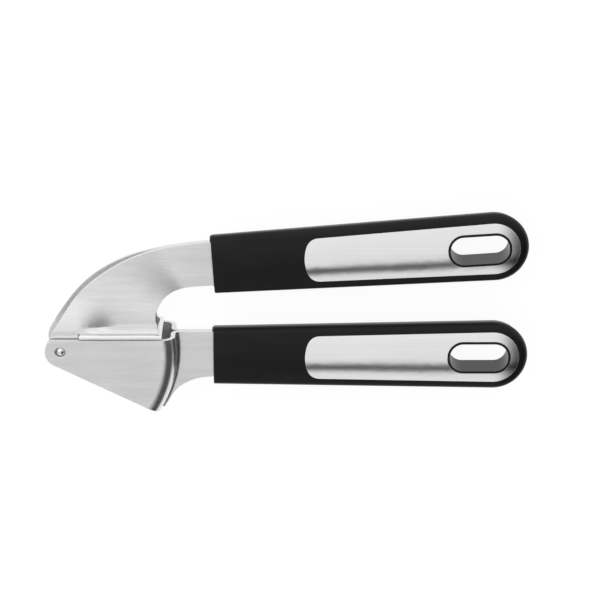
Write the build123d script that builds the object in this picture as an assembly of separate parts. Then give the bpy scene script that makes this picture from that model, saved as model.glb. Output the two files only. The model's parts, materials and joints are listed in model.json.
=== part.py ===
from build123d import *
import os
from math import atan2, cos, degrees, hypot, radians, sin, sqrt

os.makedirs("parts", exist_ok=True)

# A garlic press lying on its side, arms closed. +X runs from the pivot towards the handle ends,
# +Y from the lower handle to the upper one, and +Z along the pivot pin. Everything is drawn about
# the pivot, then moved so that the origin is the bottom centre of the bounding box.
# Lengths are in millimetres and angles in degrees.

# Lower arm
SHEET = 1.8
FAN_HALF_WIDTH = 12.75
NOSE_RADIUS = 6.3
FAN_TOP = 5.0
FAN_SLOPE = 26.4
FAN_EDGE_LENGTH = 50.0
WALL_RADIUS = 47.5
WALL_CENTRE_Y = -2.2
FAN_BEND = 5.3
NECK_BEND = 1.7
NECK_BOTTOM = -14.6

# Pivot
PIN_RADIUS = 2.05
PIN_RUNNING_GAP = 0.05
PIN_DOME = 1.3
COUNTERSINK = 0.25
SLEEVE_WALL = 1.4

# Upper arm
EAR_INSIDE = 8.3
SEAM = 0.03
FOOT_SEAM = 0.03
HEAD_HALF_GAP = 5.0
LEAN_START_X = 6.0
LEAN_END_X = 24.0
HEAD_LEAN_TOP = 24.0
SPREAD_CENTRE = (60.0, 8.0)
SPREAD_START_ANGLE = 115.0
SPREAD_END_ANGLE = 172.0
FLARE_START_Y = 9.6
FLARE_END_Y = 7.2
EAR_RIGHT = 7.3
INNER_CURVE_X = 38.9
FLANGE_END_X = 40.3
NECK_INSIDE = 2.0
PRESSING_X = (-8.0, 66.0, 50)
PRESSING_Y = (-8.0, 46.0, 60)

# Plunger and sieve
CUP_TOP = 5.55
PLUNGER_LEFT = 7.7
PLUNGER_RIGHT = 41.7
PLUNGER_WALL = 1.0
PLUNGER_GAP = 0.45
LID_THICKNESS = 1.45
LID_HALF_WIDTH = 12.7
LID_ROUND = 0.65
SIEVE_THICKNESS = 1.0
SIEVE_RAISE = 0.3
SIEVE_START = 9.5
SIEVE_HOLE_RADIUS = 0.95
SIEVE_PITCH = 3.3
SIEVE_FIRST_HOLE = 2.4
SIEVE_COLUMNS = 10
SIEVE_MARGIN = 2.0
SIEVE_FIT = 0.01

# Handles
HANDLE_START_X = 62.6
LOWER_HANDLE_Y = -4.7
UPPER_HANDLE_Y = 34.8
UPPER_HANDLE_ANGLE = 3.7
HANDLE_LENGTH = 130.1
HANDLE_HALF_START = 12.9
HANDLE_HALF_END = 15.0
FRONT_CROWN = 7.4
FRONT_EDGE = 5.3
FRONT_CORNER = 3.0
BACK_CROWN = 6.8
BACK_EDGE = 4.6
BACK_CORNER = 4.0
SIDE_DRAFT = 2.4
GRIP_THICKNESS = 2.2
INLAY_THICKNESS = 0.8
INLAY_START = 37.7
INLAY_HALF_START = 9.3
INLAY_HALF_END = 10.8
INLAY_CORNER = 6.3
INLAY_BOW = 0.35
SLOT_LENGTH = 26.0
SLOT_HEIGHT = 13.7
SLOT_CENTRE = 109.4
SLOT_RIM = 0.95
SLOT_PROUD = 0.2
TANG_LENGTH = 84.0
TANG_HALF = 7.0
LIP_BORDER = 0.9
LIP_PROUD = 0.5
NECK_CLEAR = 0.1
END_ROUND = 0.5
RIVET_RADIUS = 2.0
RIVET_HALF_LENGTH = 4.2
RIVET_STATIONS = (24.0, 66.0)

# Worked out from the above
FAN_INSIDE = FAN_HALF_WIDTH - SHEET
HANDLE_DOME_X = HANDLE_LENGTH - HANDLE_HALF_END
NECK_END_X = HANDLE_START_X + NECK_INSIDE
WALL_INSIDE = WALL_RADIUS - SHEET
WALL_TOP_X = sqrt(WALL_INSIDE ** 2 - (FAN_TOP - WALL_CENTRE_Y) ** 2)
PLUNGER_REACH = hypot(WALL_TOP_X, FAN_TOP) - PLUNGER_GAP
LID_TOP = CUP_TOP + LID_THICKNESS

# Sizes of cutting shapes that only have to be large enough
REACH = 90.0
TALL = 60.0


def smooth(value):
    """Ease from 0 to 1 with level ends."""
    value = min(1.0, max(0.0, value))
    return value * value * (3.0 - 2.0 * value)


def mirrored(shape):
    """The same piece on the other side of the mid-plane."""
    return mirror(shape, about=Plane.XY)


def slab(sketch, bottom, top):
    """A flat outline in XY turned into a plate between two heights."""
    return Pos(0, 0, bottom) * extrude(sketch, top - bottom)


def bar(radius, half_length):
    """A round bar along the pivot axis."""
    return Cylinder(radius, 2 * half_length)


# Handle placing -------------------------------------------------------------------------------

def lower_handle_place():
    return Location((HANDLE_START_X, LOWER_HANDLE_Y, 0))


def upper_handle_place():
    return Location((HANDLE_START_X, UPPER_HANDLE_Y, 0), (0, 0, UPPER_HANDLE_ANGLE))


def tang():
    """The flat part of one frame half that runs on inside the handle."""
    outline = Pos(TANG_LENGTH / 2, 0) * RectangleRounded(TANG_LENGTH, 2 * TANG_HALF, 5.0)
    plate = slab(outline, 0, SHEET)
    for station in RIVET_STATIONS:
        plate -= Pos(station, 0, 0) * bar(RIVET_RADIUS, 2 * SHEET)
    return plate


# Lower arm ------------------------------------------------------------------------------------

def lower_outline():
    """Side view of the lower frame: round nose, fan, and a neck with a hollow underside."""
    slope = radians(FAN_SLOPE)
    nose_top = (-sqrt(NOSE_RADIUS ** 2 - FAN_TOP ** 2), FAN_TOP)
    nose_bottom = (-NOSE_RADIUS * sin(slope), -NOSE_RADIUS * cos(slope))
    tip = (
        nose_bottom[0] + FAN_EDGE_LENGTH * cos(slope),
        nose_bottom[1] - FAN_EDGE_LENGTH * sin(slope),
    )
    neck_bottom = (NECK_END_X, NECK_BOTTOM)
    neck_top = (NECK_END_X, FAN_TOP)
    under = Spline(tip, (46.9, -20.3), (53.2, -16.2), neck_bottom, tangents=((3, 4), (1, 0)))
    edges = [
        ThreePointArc(nose_top, (-NOSE_RADIUS, 0), nose_bottom),
        Line(nose_bottom, tip),
        under,
        Line(neck_bottom, neck_top),
        Line(neck_top, nose_top),
    ]
    return make_face(edges)


def lower_section():
    """Half section through the end wall's axis: side plate, end wall and neck, one bent sheet."""
    bend_r = WALL_RADIUS - FAN_BEND
    bend_z = FAN_HALF_WIDTH - FAN_BEND
    inner_bend = FAN_BEND - SHEET
    neck_r = WALL_RADIUS + NECK_BEND
    neck_z = NECK_BEND + SHEET
    diagonal = sqrt(0.5)
    edges = [
        Line((0, FAN_HALF_WIDTH), (bend_r, FAN_HALF_WIDTH)),
        ThreePointArc(
            (bend_r, FAN_HALF_WIDTH),
            (bend_r + FAN_BEND * diagonal, bend_z + FAN_BEND * diagonal),
            (WALL_RADIUS, bend_z),
        ),
        Line((WALL_RADIUS, bend_z), (WALL_RADIUS, neck_z)),
        ThreePointArc(
            (WALL_RADIUS, neck_z),
            (neck_r - NECK_BEND * diagonal, neck_z - NECK_BEND * diagonal),
            (neck_r, SHEET),
        ),
        Line((neck_r, SHEET), (REACH, SHEET)),
        Line((REACH, SHEET), (REACH, 0)),
        Line((REACH, 0), (neck_r, 0)),
        ThreePointArc(
            (neck_r, 0),
            (neck_r - neck_z * diagonal, neck_z - neck_z * diagonal),
            (WALL_INSIDE, neck_z),
        ),
        Line((WALL_INSIDE, neck_z), (WALL_INSIDE, bend_z)),
        ThreePointArc(
            (WALL_INSIDE, bend_z),
            (bend_r + inner_bend * diagonal, bend_z + inner_bend * diagonal),
            (bend_r, FAN_INSIDE),
        ),
        Line((bend_r, FAN_INSIDE), (0, FAN_INSIDE)),
        Line((0, FAN_INSIDE), (0, FAN_HALF_WIDTH)),
    ]
    return Plane.XZ * make_face(edges)


def lower_frame_half():
    bent_sheet = Pos(0, WALL_CENTRE_Y, 0) * revolve(lower_section(), Axis.Z)
    half = bent_sheet & slab(lower_outline(), -1, FAN_HALF_WIDTH + 1)
    half += lower_handle_place() * tang()
    half -= bar(PIN_RADIUS, FAN_HALF_WIDTH + 1)
    cone = Cone(PIN_RADIUS, PIN_RADIUS + COUNTERSINK, COUNTERSINK)
    half -= Pos(0, 0, FAN_HALF_WIDTH - COUNTERSINK / 2) * cone
    return half


def chamber(radius, gap):
    """A round space between the fan plates, with the end wall's rounded corners."""
    space = bar(radius, FAN_INSIDE - gap)
    rims = space.edges().filter_by(GeomType.CIRCLE)
    return fillet(rims, FAN_BEND - SHEET)


def sieve_plate():
    """Flat plate along the fan's sloping edge, with rows of round holes."""
    low = -NOSE_RADIUS + SIEVE_RAISE
    end = WALL_RADIUS + 1
    inside = FAN_INSIDE - SIEVE_MARGIN
    plate = Pos((SIEVE_START + end) / 2, low + SIEVE_THICKNESS / 2, 0) * Box(
        end - SIEVE_START, SIEVE_THICKNESS, 2 * FAN_HALF_WIDTH
    )
    across = int(inside / SIEVE_PITCH)
    first = SIEVE_START + SIEVE_FIRST_HOLE
    drill = Rot(90, 0, 0) * Cylinder(SIEVE_HOLE_RADIUS, 6 * SIEVE_THICKNESS)
    holes = []
    for column in range(SIEVE_COLUMNS):
        shift = 0.5 if column % 2 else 0.0
        for row in range(-across, across + 1):
            z = (row + shift) * SIEVE_PITCH
            if abs(z) <= inside:
                x = first + column * SIEVE_PITCH
                holes.append(Pos(x, low, z) * drill)
    plate -= holes
    space = Pos(0, WALL_CENTRE_Y, 0) * chamber(WALL_INSIDE - SIEVE_FIT, SIEVE_FIT)
    return (Rot(0, 0, -FAN_SLOPE) * plate) & space


# Pivot ----------------------------------------------------------------------------------------

def pivot_pin():
    """Pin with domed ends, level at their tops with the fan plates."""
    dome_radius = (PIN_RADIUS ** 2 + PIN_DOME ** 2) / (2 * PIN_DOME)
    pin = bar(PIN_RADIUS, FAN_HALF_WIDTH)
    for side in (-1, 1):
        dome = Pos(0, 0, side * (FAN_HALF_WIDTH - dome_radius)) * Sphere(dome_radius)
        end = Pos(0, 0, side * FAN_HALF_WIDTH) * Cylinder(2 * PIN_RADIUS, 2 * PIN_DOME)
        pin -= end - dome
    return pin


def pivot_sleeve():
    bore = PIN_RADIUS + PIN_RUNNING_GAP
    return bar(bore + SLEEVE_WALL, EAR_INSIDE) - bar(bore, EAR_INSIDE + 1)


# Upper arm ------------------------------------------------------------------------------------

def upper_outline():
    """Side view of the upper frame: arched back, nose round the pivot, and a hollow throat."""
    angle = radians(UPPER_HANDLE_ANGLE)
    neck_top = (NECK_END_X, 43.9)
    neck_bottom = (NECK_END_X, 25.3)
    ear_start = (-4.6, 4.3)
    back = Spline(
        neck_top, (45.5, 41.8), (30.3, 37.75), (15.9, 30.1), (5.5, 20.4), (-0.8, 11.2), ear_start,
        tangents=((-cos(angle), -sin(angle)), (-0.4, -1)),
    )
    throat_low = (INNER_CURVE_X, 12.0)
    throat = Spline(
        throat_low, (39.9, 16.6), (42.8, 20.7), (47.6, 23.45), (54.1, 24.65), neck_bottom,
        tangents=((0, 1), (1, 0.06)),
    )
    ear_side = (EAR_RIGHT, FAN_TOP)
    ear_top = (EAR_RIGHT, LID_TOP + FOOT_SEAM)
    flange_end = (FLANGE_END_X, LID_TOP + FOOT_SEAM)
    edges = [
        back,
        ThreePointArc(ear_start, (0, -NOSE_RADIUS), (NOSE_RADIUS, 0)),
        Line((NOSE_RADIUS, 0), ear_side),
        Line(ear_side, ear_top),
        Line(ear_top, flange_end),
        Spline(flange_end, throat_low, tangents=((-0.35, 1), (0, 1))),
        throat,
        Line(neck_bottom, neck_top),
    ]
    return make_face(edges)


def head_height(x, y):
    """Height of a frame half's inner face.

    It opens fan-wise about a point under the neck and leans out to the ears near the nose. Further
    along, the bottom edge flares to a foot on the plunger's lid.
    """
    centre_x, centre_y = SPREAD_CENTRE
    angle = degrees(atan2(y - centre_y, x - centre_x)) % 360
    turned = (angle - SPREAD_START_ANGLE) / (SPREAD_END_ANGLE - SPREAD_START_ANGLE)
    spread = HEAD_HALF_GAP * smooth(turned)
    lean = smooth((HEAD_LEAN_TOP - y) / (HEAD_LEAN_TOP - FLARE_END_Y))
    near_nose = smooth((LEAN_END_X - x) / (LEAN_END_X - LEAN_START_X))
    leant = spread + (EAR_INSIDE - HEAD_HALF_GAP) * lean * near_nose
    flare = smooth((FLARE_START_Y - y) / (FLARE_START_Y - FLARE_END_Y))
    return SEAM + leant + (EAR_INSIDE - leant) * flare


def stations(start, end, steps):
    """Evenly spaced places along one axis."""
    return [start + (end - start) * step / steps for step in range(steps + 1)]


def upper_frame_half():
    """Pressed sheet: a curved head, a flat neck and the tang."""
    rows = stations(*PRESSING_Y)
    grid = [[(x, y, head_height(x, y)) for y in rows] for x in stations(*PRESSING_X)]
    pressed = Face.make_surface_from_array_of_points(grid, tol=0.01)
    sheet = Solid.extrude(pressed, Vector(0, 0, SHEET))
    half = sheet & slab(upper_outline(), -1, FAN_HALF_WIDTH)
    half += upper_handle_place() * tang()
    half -= bar(PIN_RADIUS + PIN_RUNNING_GAP, FAN_HALF_WIDTH)
    return half


def plunger_outline(inset):
    """Side view of the cup: flat top, sloping pressing face, and a wall inside the end wall."""
    slope = radians(FAN_SLOPE)
    radius = PLUNGER_REACH - inset
    press_level = -NOSE_RADIUS + SIEVE_RAISE + SIEVE_THICKNESS + PLUNGER_GAP + inset
    left = PLUNGER_LEFT + inset
    right = PLUNGER_RIGHT - inset
    wall_low = -sqrt(radius ** 2 - right ** 2)
    along = sqrt(radius ** 2 - press_level ** 2)
    corner_x = along * cos(slope) + press_level * sin(slope)
    corner_y = -along * sin(slope) + press_level * cos(slope)
    middle_x = (right + corner_x) / 2
    middle_y = (wall_low + corner_y) / 2
    stretch = radius / hypot(middle_x, middle_y)
    left_low = (press_level - left * sin(slope)) / cos(slope)
    edges = [
        Line((left, CUP_TOP), (right, CUP_TOP)),
        Line((right, CUP_TOP), (right, wall_low)),
        ThreePointArc((right, wall_low), (middle_x * stretch, middle_y * stretch),
                      (corner_x, corner_y)),
        Line((corner_x, corner_y), (left, left_low)),
        Line((left, left_low), (left, CUP_TOP)),
    ]
    return make_face(edges)


def plunger_cup():
    """Drawn steel cup that fills the chamber, open at the top."""
    half_width = FAN_INSIDE - PLUNGER_GAP
    block = slab(plunger_outline(0), -half_width, half_width) & chamber(PLUNGER_REACH, PLUNGER_GAP)
    inner_half = half_width - PLUNGER_WALL
    inner = slab(plunger_outline(PLUNGER_WALL), -inner_half, inner_half)
    return block - inner - Pos(0, PLUNGER_WALL, 0) * inner


def plunger_lid():
    """Flat plate over the cup, as wide as the fan, with a rounded rim."""
    middle = (PLUNGER_LEFT + PLUNGER_RIGHT) / 2
    plate = Pos(middle, CUP_TOP + LID_THICKNESS / 2, 0) * Box(
        PLUNGER_RIGHT - PLUNGER_LEFT, LID_THICKNESS, 2 * LID_HALF_WIDTH
    )
    top = plate.faces().sort_by(Axis.Y)[-1]
    return fillet(top.edges(), LID_ROUND)


# Handles, drawn along +X from their own left end ----------------------------------------------

def handle_sections(grow):
    """Cross-sections at the left end and at the dome, grown or shrunk: wide front, narrower back."""
    sections = []
    for half in (HANDLE_HALF_START, HANDLE_HALF_END):
        front = half + grow
        front_edge = FRONT_EDGE + grow
        back = half - SIDE_DRAFT + grow
        back_edge = BACK_EDGE + grow
        edges = [
            ThreePointArc((-front, front_edge), (0, FRONT_CROWN + grow), (front, front_edge)),
            Line((front, front_edge), (back, -back_edge)),
            ThreePointArc((back, -back_edge), (0, -BACK_CROWN - grow), (-back, -back_edge)),
            Line((-back, -back_edge), (-front, front_edge)),
        ]
        face = make_face(edges)
        corners = face.vertices()
        face = fillet(corners.filter_by(lambda v: v.Y > 0), FRONT_CORNER + 0.5 * grow)
        low_corners = face.vertices().sort_by(Axis.Y)[:2]
        sections.append(fillet(low_corners, BACK_CORNER + 0.5 * grow))
    return sections


def handle_body(grow):
    """The handle's outer form grown or shrunk: a tapered bar with a domed round end."""
    start, end = handle_sections(grow)
    first = Plane.YZ * start
    last = Plane.YZ.offset(HANDLE_DOME_X) * end
    body = loft([first, last], ruled=True)
    half_end = end & (Pos(TALL / 2, 0) * Rectangle(TALL, TALL))
    turning = Axis((HANDLE_DOME_X, 0, 0), (0, 0, 1))
    dome = revolve(Plane.YZ.offset(HANDLE_DOME_X) * half_end, turning, -180)
    return body + dome


def inlay_outline():
    """Long plate with two soft corners at the left and a round right end."""
    straight = INLAY_START + INLAY_CORNER
    left_x = INLAY_START + INLAY_BOW
    low = INLAY_HALF_START - INLAY_CORNER * 0.95
    edges = [
        Line((straight, INLAY_HALF_START), (HANDLE_DOME_X, INLAY_HALF_END)),
        ThreePointArc((HANDLE_DOME_X, INLAY_HALF_END), (HANDLE_DOME_X + INLAY_HALF_END, 0),
                      (HANDLE_DOME_X, -INLAY_HALF_END)),
        Line((HANDLE_DOME_X, -INLAY_HALF_END), (straight, -INLAY_HALF_START)),
        Spline((straight, -INLAY_HALF_START), (left_x, -low), tangents=((-1, 0.02), (-0.2, 1))),
        ThreePointArc((left_x, -low), (INLAY_START, 0), (left_x, low)),
        Spline((left_x, low), (straight, INLAY_HALF_START), tangents=((0.2, 1), (1, 0.02))),
    ]
    return make_face(edges)


def slot_block(border):
    """The hang slot's outer form, drawn in by a border, right through the handle."""
    outline = RectangleRounded(
        SLOT_LENGTH - 2 * border, SLOT_HEIGHT - 2 * border, SLOT_HEIGHT / 2 - border - 0.3
    )
    return Pos(SLOT_CENTRE, 0) * slab(outline, -BACK_CROWN - 2, FRONT_CROWN + 2)


def neck_opening(border):
    """Where the doubled neck passes into the left end of a handle, with a border above it."""
    height = FAN_TOP - NECK_BOTTOM + 2 * NECK_CLEAR + border
    block = Box(2 * GRIP_THICKNESS + 2 * LIP_PROUD, height, 2 * SHEET)
    return Pos(GRIP_THICKNESS, border / 2, 0) * block


def handle_core(steel):
    """Stiff inner moulding round the tangs, with a lip above the neck where it comes out."""
    core = handle_body(-GRIP_THICKNESS)
    core -= Box(2 * GRIP_THICKNESS, TALL, TALL)
    core += neck_opening(LIP_BORDER)
    core -= slot_block(0)
    for station in RIVET_STATIONS:
        core -= Pos(station, 0, 0) * bar(RIVET_RADIUS, RIVET_HALF_LENGTH)
    return core - steel


def grip_recess():
    """The layer under the handle's face that an inlay fills."""
    layer = handle_body(0.5) - handle_body(-INLAY_THICKNESS)
    block = slab(inlay_outline(), 0, FRONT_CROWN + 2)
    return layer & block


def handle_grip():
    grip = handle_body(0)
    end_edges = grip.faces().sort_by(Axis.X)[0].edges()
    grip = fillet(end_edges, END_ROUND)
    inner = handle_body(-GRIP_THICKNESS)
    inner -= Box(2 * GRIP_THICKNESS, TALL, TALL)
    grip -= inner
    grip -= neck_opening(LIP_BORDER)
    grip -= grip_recess()
    return grip - slot_block(0)


def handle_inlay():
    layer = handle_body(0.05) - handle_body(-INLAY_THICKNESS)
    block = slab(inlay_outline(), 0, FRONT_CROWN + 2)
    return (layer & block) - slot_block(0)


def slot_liner():
    return (slot_block(0) - slot_block(SLOT_RIM)) & handle_body(SLOT_PROUD)


def tang_rivets():
    return Compound([Pos(station, 0, 0) * bar(RIVET_RADIUS, RIVET_HALF_LENGTH)
                     for station in RIVET_STATIONS])


# Assembly -------------------------------------------------------------------------------------

def handle_nodes(arm, place, frame_half):
    """One handle's pieces. The core is cut round the steel that runs into it."""
    steel = place.inverse() * (frame_half + mirrored(frame_half))
    pieces = {
        "handle_core": handle_core(steel),
        "grip": handle_grip(),
        "inlay": handle_inlay(),
        "slot_liner": slot_liner(),
        "tang_rivets": tang_rivets(),
    }
    return {arm + "_" + name: place * piece for name, piece in pieces.items()}


def press_nodes():
    lower_half = lower_frame_half()
    upper_half = upper_frame_half()
    nodes = {
        "lower_frame_front": lower_half,
        "lower_frame_back": mirrored(lower_half),
        "sieve_plate": sieve_plate(),
        "pivot_pin": pivot_pin(),
        "upper_frame_front": upper_half,
        "upper_frame_back": mirrored(upper_half),
        "pivot_sleeve": pivot_sleeve(),
        "plunger_cup": plunger_cup(),
        "plunger_lid": plunger_lid(),
    }
    nodes.update(handle_nodes("lower", lower_handle_place(), lower_half))
    nodes.update(handle_nodes("upper", upper_handle_place(), upper_half))
    return nodes


nodes = press_nodes()
whole = Compound(list(nodes.values())).bounding_box()
to_origin = Pos(-whole.center().X, -whole.center().Y, FAN_HALF_WIDTH)
for name, shape in nodes.items():
    export_step(to_origin * shape, os.path.join("parts", name + ".step"))
pivot = to_origin.position
print("pivot at", round(pivot.X, 3), round(pivot.Y, 3), round(pivot.Z, 3))
print("overall", [round(length, 2) for length in whole.size])
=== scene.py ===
"""Materials for the garlic press's CAD parts, with a pale floor, soft light and the camera.

Lengths are in metres, in the CAD frame: +X towards the handle ends, +Y towards the upper handle,
and +Z along the pivot pin, which is up from the floor that the press lies on.
"""
import json
import math

import bpy
from mathutils import Matrix, Vector

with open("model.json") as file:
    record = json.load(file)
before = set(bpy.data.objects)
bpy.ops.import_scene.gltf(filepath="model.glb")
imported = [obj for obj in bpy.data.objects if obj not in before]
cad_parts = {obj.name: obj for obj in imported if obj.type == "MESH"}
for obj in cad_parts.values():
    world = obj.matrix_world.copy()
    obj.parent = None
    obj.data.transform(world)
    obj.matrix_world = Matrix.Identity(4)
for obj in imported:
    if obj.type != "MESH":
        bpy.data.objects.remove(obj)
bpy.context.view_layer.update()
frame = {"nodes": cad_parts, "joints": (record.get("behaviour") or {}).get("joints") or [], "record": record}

PIVOT = Vector(frame["joints"][0]["pos_m"])

# Camera: a long lens, tilted from the pivot axis towards the upper handle.
CAMERA_TILT = math.radians(19.1)
CAMERA_ROLL = math.radians(0.1)
CAMERA_DISTANCE = 1.332
CAMERA_AIM = PIVOT + Vector((0.0983, 0.0182, 0.0))
CAMERA_LENS = 194.2
SENSOR = 36.0

MM = 0.001

# Steel: broad streaks over fine ones, with clouds over both. Streaks per metre, along and across.
FINE_STREAKS = (70.0, 2600.0)
POLISHED_STREAKS = (30.0, 2200.0)
BROAD_ALONG = 0.4
BROAD_ACROSS = 0.22
BROAD_SHARE = 0.45
CLOUD_SCALE = 60.0
CLOUD_SHARE = 0.25
NOISE_LOW = 0.3
NOISE_HIGH = 0.7
POLISH_SPREAD = 0.15
STREAK_HEIGHT = 0.02 * MM
BEVEL_SAMPLES = 4
INNER_METALLIC = 0.55

# Parts of a face's normal, along X and away from the mid-plane, over which its look changes.
END_ON = (0.5, 0.8)
INWARD = (-0.5, -0.2)

# Plastic: a fine grain, and marks where hands rub it.
GRAIN_SCALE = 2600.0
RUB_SCALE = (40.0, 120.0, 120.0)
RUB_LOW = 0.45
RUB_HIGH = 0.75
RUB_LIGHTER = 1.5
RUB_SMOOTHER = 0.85
GRAIN_HEIGHT = 0.03 * MM
PLASTIC_SHINE = 0.2

# Floor, a little below the press, that gives most of its own light.
FLOOR_SIZE = 8.0
FLOOR_LEVEL = -0.0003
FLOOR_TONE = 0.12
FLOOR_ROUGHNESS = 0.9
FLOOR_GLOW = 0.92

# World: directions are in degrees from straight up, leaning towards +Y or towards +X.
# Each pair says where a change starts and ends, or how bright it is at its start and its end.
# The fades of the gap and the strip are measured from their middle line.
GAP_LEAN_Y = -30
GAP_FADE = (1.5, 6.5)
GAP_LIGHT = (0.05, 1.0)
STRIP_LEAN_Y = 84
STRIP_FADE = (2, 7)
STRIP_LIGHT = (0.6, 0.0)
RISE_LEAN_Y = (-20, 40)
RISE_LIGHT = (0.97, 1.12)
LEFT_LEAN_X = (-80, -20)
LEFT_LIGHT = (0.6, 1.0)
RIGHT_LEAN_X = (6, 27)
DARKEST_LEAN_Y = (-5, 21)
DARKEST_LIGHT = (0.06, 0.85)

# Key light, placed from the pivot.
KEY_PLACE = (-0.5, 0.7, 1.1)
KEY_SIZE = (0.9, 0.7)
KEY_POWER = 1.2


# Camera ---------------------------------------------------------------------------------------

def add_camera():
    data = bpy.data.cameras.new("camera")
    data.lens = CAMERA_LENS
    data.sensor_width = SENSOR
    data.clip_start = 0.01
    data.clip_end = 50.0
    camera = bpy.data.objects.new("camera", data)
    bpy.context.collection.objects.link(camera)
    back = Vector((0, math.sin(CAMERA_TILT), math.cos(CAMERA_TILT)))
    up = Vector((0, math.cos(CAMERA_TILT), -math.sin(CAMERA_TILT)))
    side = Vector((1, 0, 0))
    rolled_side = side * math.cos(CAMERA_ROLL) - up * math.sin(CAMERA_ROLL)
    rolled_up = side * math.sin(CAMERA_ROLL) + up * math.cos(CAMERA_ROLL)
    turn = Matrix((rolled_side, rolled_up, back)).transposed().to_4x4()
    camera.matrix_world = Matrix.Translation(CAMERA_AIM + back * CAMERA_DISTANCE) @ turn
    bpy.context.scene.camera = camera


# Node helpers ---------------------------------------------------------------------------------

class Graph:
    """A short way to write a node tree."""

    def __init__(self, tree):
        self.tree = tree
        tree.nodes.clear()

    def node(self, kind, **settings):
        made = self.tree.nodes.new("ShaderNode" + kind)
        for name, value in settings.items():
            setattr(made, name, value)
        return made

    def link(self, source, target):
        self.tree.links.new(source, target)

    def feed(self, socket, value):
        if isinstance(value, bpy.types.NodeSocket):
            self.link(value, socket)
        else:
            socket.default_value = value

    def math(self, operation, first, second=0.0):
        made = self.node("Math", operation=operation)
        self.feed(made.inputs[0], first)
        self.feed(made.inputs[1], second)
        return made.outputs[0]

    def ramp(self, value, low, high, to_low=0.0, to_high=1.0):
        """A smooth step from one number to another."""
        made = self.node("MapRange", interpolation_type="SMOOTHSTEP")
        self.feed(made.inputs["Value"], value)
        made.inputs["From Min"].default_value = low
        made.inputs["From Max"].default_value = high
        made.inputs["To Min"].default_value = to_low
        made.inputs["To Max"].default_value = to_high
        return made.outputs["Result"]

    def stretched(self, vector, scale):
        made = self.node("Mapping")
        self.link(vector, made.inputs["Vector"])
        made.inputs["Scale"].default_value = scale
        return made.outputs["Vector"]

    def leaning(self, lean, fade, light):
        """A smooth step over a pair of directions in degrees."""
        return self.ramp(lean, math.radians(fade[0]), math.radians(fade[1]), *light)

    def away_from(self, lean, centre):
        """How far a direction is from a centre in degrees."""
        return self.math("ABSOLUTE", self.math("SUBTRACT", lean, math.radians(centre)))

    def noise(self, vector, detail, scale=1.0):
        made = self.node("TexNoise")
        self.link(vector, made.inputs["Vector"])
        made.inputs["Scale"].default_value = scale
        made.inputs["Detail"].default_value = detail
        return made.outputs["Fac"]

    def mix(self, factor, first, second):
        """Mixes two colours."""
        made = self.node("Mix", data_type="RGBA")
        self.feed(made.inputs["Factor"], factor)
        self.feed(made.inputs[6], first)
        self.feed(made.inputs[7], second)
        return made.outputs[2]

    def blend(self, factor, first, second):
        """Mixes two numbers."""
        made = self.node("Mix", data_type="FLOAT")
        self.feed(made.inputs["Factor"], factor)
        self.feed(made.inputs[2], first)
        self.feed(made.inputs[3], second)
        return made.outputs[0]

    def bump(self, height, strength, distance, radius):
        """Bump over a softly rounded edge."""
        soft = self.node("Bevel", samples=BEVEL_SAMPLES)
        soft.inputs["Radius"].default_value = radius
        made = self.node("Bump")
        made.inputs["Strength"].default_value = strength
        made.inputs["Distance"].default_value = distance
        self.link(height, made.inputs["Height"])
        self.link(soft.outputs["Normal"], made.inputs["Normal"])
        return made.outputs["Normal"]

    def surface(self, **values):
        shader = self.node("BsdfPrincipled")
        for name, value in values.items():
            self.feed(shader.inputs[name.replace("_", " ")], value)
        out = self.node("OutputMaterial")
        self.link(shader.outputs["BSDF"], out.inputs["Surface"])


def grey(value):
    return (value, value, value, 1.0)


def new_material(name):
    material = bpy.data.materials.new(name)
    material.use_nodes = True
    return material, Graph(material.node_tree)


# Metals ---------------------------------------------------------------------------------------

def brushing(g, along, across):
    """Streaks along X on side faces, and along the sheet on faces that look along X."""
    place = g.node("TexCoord")
    flat = g.noise(g.stretched(place.outputs["Object"], (along, across, across)), detail=3.0)
    wall = g.noise(g.stretched(place.outputs["Object"], (along, along, across)), detail=3.0)
    facing = g.node("SeparateXYZ")
    g.link(place.outputs["Normal"], facing.inputs[0])
    end_on = g.ramp(g.math("ABSOLUTE", facing.outputs["X"]), *END_ON)
    return g.blend(end_on, flat, wall)


def inner_side(g):
    """1 on sheet faces that look towards the press's mid-plane, 0 elsewhere."""
    place = g.node("TexCoord")
    point = g.node("SeparateXYZ")
    g.link(place.outputs["Object"], point.inputs[0])
    facing = g.node("SeparateXYZ")
    g.link(place.outputs["Normal"], facing.inputs[0])
    side = g.math("SIGN", g.math("SUBTRACT", point.outputs["Z"], PIVOT.z))
    outward = g.math("MULTIPLY", side, facing.outputs["Z"])
    return g.ramp(outward, *INWARD, 1.0, 0.0)


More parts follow.
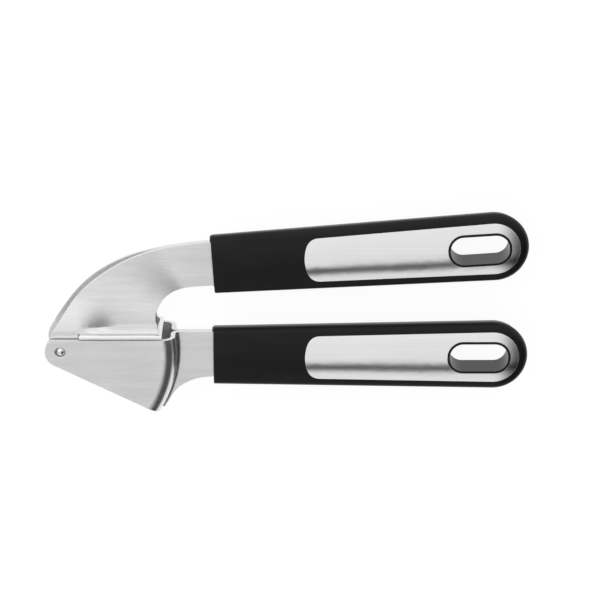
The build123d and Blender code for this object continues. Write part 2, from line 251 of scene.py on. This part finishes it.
def steel(name, light, dark, rough, edge, streaks=FINE_STREAKS, depth=0.35, inner=0.0):
    """Brushed steel with softly rounded edges.

    Light and dark are its two tones, rough its roughness, and inner the roughness of the faces
    that look inwards, where it is not 0. Edge is the rounding of its edges in millimetres.
    """
    material, g = new_material(name)
    along, across = streaks
    fine = brushing(g, along, across)
    broad = brushing(g, along * BROAD_ALONG, across * BROAD_ACROSS)
    place = g.node("TexCoord")
    cloud = g.noise(place.outputs["Object"], detail=3.0, scale=CLOUD_SCALE)
    streak = g.blend(BROAD_SHARE, fine, broad)
    streak_tone = g.ramp(streak, NOISE_LOW, NOISE_HIGH)
    cloud_tone = g.ramp(cloud, NOISE_LOW, NOISE_HIGH)
    tone = g.blend(CLOUD_SHARE, streak_tone, cloud_tone)
    colour = g.mix(tone, grey(dark), grey(light))
    finish = g.blend(tone, rough * (1 + POLISH_SPREAD), rough * (1 - POLISH_SPREAD))
    metal = 1.0
    if inner:
        inside = inner_side(g)
        finish = g.blend(inside, finish, inner)
        metal = g.blend(inside, 1.0, INNER_METALLIC)
    g.surface(
        Base_Color=colour,
        Metallic=metal,
        Roughness=finish,
        Normal=g.bump(streak, depth, STREAK_HEIGHT, edge * MM),
    )
    return material


# Plastics -------------------------------------------------------------------------------------

def plastic(name, tone, rough, grain=0.25, edge=0.4):
    """Moulded black plastic with a fine spark grain and slight handling marks."""
    material, g = new_material(name)
    place = g.node("TexCoord")
    spark = g.noise(place.outputs["Object"], detail=2.0, scale=GRAIN_SCALE)
    rub = g.noise(g.stretched(place.outputs["Object"], RUB_SCALE), detail=4.0)
    worn = g.ramp(rub, RUB_LOW, RUB_HIGH)
    colour = g.mix(worn, grey(tone), grey(tone * RUB_LIGHTER))
    finish = g.blend(worn, rough, rough * RUB_SMOOTHER)
    g.surface(
        Base_Color=colour,
        Roughness=finish,
        Specular_IOR_Level=PLASTIC_SHINE,
        Normal=g.bump(spark, grain, GRAIN_HEIGHT, edge * MM),
    )
    return material


def dress_parts():
    """Gives every CAD node its finish, by the record's material slot."""
    finishes = {
        "frame_steel": steel("frame_steel", 0.79, 0.71, 0.3, edge=0.15, inner=0.6),
        "plunger_steel": steel("plunger_steel", 0.86, 0.8, 0.26, edge=0.2),
        "sieve_steel": steel("sieve_steel", 0.76, 0.68, 0.3, edge=0.15),
        "pin_steel": steel("pin_steel", 0.85, 0.8, 0.16, edge=0.25, depth=0.1),
        "inlay_steel": steel("inlay_steel", 0.79, 0.74, 0.14, edge=0.2, depth=0.12, streaks=POLISHED_STREAKS),
        "grip_black": plastic("grip_black", 0.005, 0.4),
        "core_black": plastic("core_black", 0.005, 0.5),
        "liner_black": plastic("liner_black", 0.006, 0.3, grain=0.12, edge=0.15),
    }
    for subpart in frame["record"]["subparts"]:
        part = frame["nodes"][subpart["node"]]
        part.data.materials.clear()
        part.data.materials.append(finishes[subpart["material_slot"]])


# Floor and light ------------------------------------------------------------------------------

def add_floor():
    half = FLOOR_SIZE / 2
    mesh = bpy.data.meshes.new("floor")
    corners = [(-half, -half), (half, -half), (half, half), (-half, half)]
    mesh.from_pydata([(x, y, FLOOR_LEVEL) for x, y in corners], [], [(0, 1, 2, 3)])
    floor = bpy.data.objects.new("floor", mesh)
    bpy.context.collection.objects.link(floor)
    material, g = new_material("floor")
    g.surface(
        Base_Color=grey(FLOOR_TONE),
        Roughness=FLOOR_ROUGHNESS,
        Emission_Color=grey(1.0),
        Emission_Strength=FLOOR_GLOW,
    )
    mesh.materials.append(material)


def add_world():
    """A bright soft ceiling, darker towards +X, with a dark gap and a bright strip across it."""
    world = bpy.data.worlds.new("studio")
    world.use_nodes = True
    bpy.context.scene.world = world
    g = Graph(world.node_tree)
    place = g.node("TexCoord")
    way = g.node("SeparateXYZ")
    g.link(place.outputs["Generated"], way.inputs[0])
    lean_y = g.math("ARCTAN2", way.outputs["Y"], way.outputs["Z"])
    lean_x = g.math("ARCTAN2", way.outputs["X"], way.outputs["Z"])
    gap = g.leaning(g.away_from(lean_y, GAP_LEAN_Y), GAP_FADE, GAP_LIGHT)
    strip = g.leaning(g.away_from(lean_y, STRIP_LEAN_Y), STRIP_FADE, STRIP_LIGHT)
    rise = g.leaning(lean_y, RISE_LEAN_Y, RISE_LIGHT)
    left = g.leaning(lean_x, LEFT_LEAN_X, LEFT_LIGHT)
    darkest = g.leaning(lean_y, DARKEST_LEAN_Y, DARKEST_LIGHT)
    right = g.blend(g.leaning(lean_x, RIGHT_LEAN_X, (0.0, 1.0)), 1.0, darkest)
    bands = g.math("ADD", g.math("MULTIPLY", gap, rise), strip)
    light = g.math("MULTIPLY", g.math("MULTIPLY", left, right), bands)
    # The camera itself sees plain white behind the press.
    ray = g.node("LightPath")
    seen = g.blend(ray.outputs["Is Camera Ray"], light, 1.0)
    back = g.node("Background")
    back.inputs["Color"].default_value = grey(1.0)
    g.link(seen, back.inputs["Strength"])
    out = g.node("OutputWorld")
    g.link(back.outputs[0], out.inputs["Surface"])


def add_light(name, place, size, power):
    data = bpy.data.lights.new(name, "AREA")
    data.shape = "RECTANGLE"
    data.size = size[0]
    data.size_y = size[1]
    data.energy = power
    light = bpy.data.objects.new(name, data)
    bpy.context.collection.objects.link(light)
    light.location = PIVOT + Vector(place)
    aim = CAMERA_AIM - light.location
    light.rotation_euler = aim.to_track_quat("-Z", "Y").to_euler()


add_camera()
add_world()
add_floor()
add_light("key", KEY_PLACE, KEY_SIZE, KEY_POWER)
dress_parts()
bpy.context.scene.view_settings.view_transform = "Standard"
